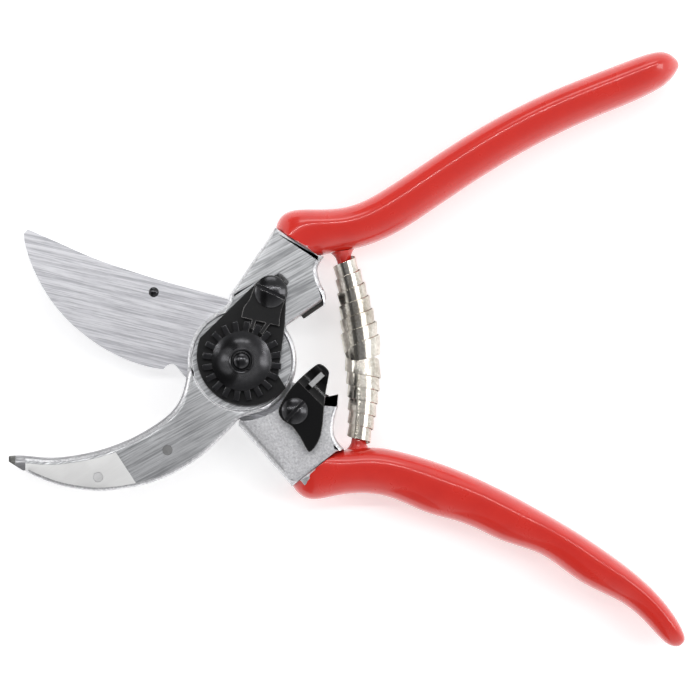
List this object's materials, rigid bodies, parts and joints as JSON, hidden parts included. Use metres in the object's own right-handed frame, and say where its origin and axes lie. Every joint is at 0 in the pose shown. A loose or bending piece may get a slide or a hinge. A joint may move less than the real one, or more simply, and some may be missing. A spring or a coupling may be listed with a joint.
{
  "type": "bypass pruning shears",
  "caption": "Hand pruning shears with a curved blade and anvil hook, coated handles, a volute spring and a swinging thumb catch, lying open.",
  "frame": {"origin": "on the pivot axis, in the flat outer face of the centre bolt's head, which is the lowest face as the shears lie on their back", "axes": "+X from the pivot towards the handles, along the longest extent; +Y towards the anvil half's handle; +Z along the pivot axis, out of the centre nut's side"},
  "size_m": [0.1878, 0.1659, 0.0246],
  "materials": {
    "forged": "forged and tumbled, brushed on the head",
    "ground_steel": "ground with fine lines",
    "black_steel": "black oxide, satin",
    "red_coat": "dipped, smooth and glossy",
    "spring_nickel": "bright nickel strip",
    "rubber": "matte"
  },
  "bodies": {
    "anvil_half": {"anvil_handle": "forged", "upper_grip": "red_coat", "anvil_blade": "ground_steel", "anvil_rivets": "black_steel", "lock_plate": "black_steel", "toothed_segment": "black_steel", "segment_screw": "black_steel", "centre_bolt": "black_steel", "centre_nut": "black_steel", "stop_strip": "rubber"},
    "cutting_half": {"blade_handle": "forged", "lower_grip": "red_coat", "cutting_blade": "ground_steel", "blade_pin": "black_steel", "blade_screw": "black_steel", "stop_cushion": "rubber", "catch_screw": "black_steel", "catch_washer": "spring_nickel"},
    "catch": {"thumb_catch": "black_steel"},
    "upper_volute": {"spring_upper": "spring_nickel"},
    "lower_volute": {"spring_lower": "spring_nickel"}
  },
  "joints": [
    {"name": "pivot", "type": "hinge", "parent": "anvil_half", "child": "cutting_half", "pos_m": [0, 0, 0.01], "axis": [0, 0, 1], "range_deg": [0, 56], "stiffness_Nm_per_rad": 1.5, "springref_deg": -8.59, "deforming": ["spring_upper", "spring_lower"]},
    {"name": "catch_swing", "type": "hinge", "parent": "cutting_half", "child": "catch", "pos_m": [0.0147, -0.0138, 0.02], "axis": [0, 0, -1], "range_deg": [0, 25]},
    {"name": "upper_spring_swing", "type": "hinge", "parent": "anvil_half", "child": "upper_volute", "pos_m": [0.0282, 0.0282, 0.0102], "axis": [0, 0, 1], "range_deg": [0, 21]},
    {"name": "lower_spring_swing", "type": "hinge", "parent": "cutting_half", "child": "lower_volute", "pos_m": [0.0323, -0.0224, 0.0102], "axis": [0, 0, 1], "range_deg": [-24, 0]}
  ],
  "couplings": [
    {"joint": "upper_spring_swing", "follows": "pivot", "ratio": 0.354},
    {"joint": "lower_spring_swing", "follows": "pivot", "ratio": -0.409}
  ]
}
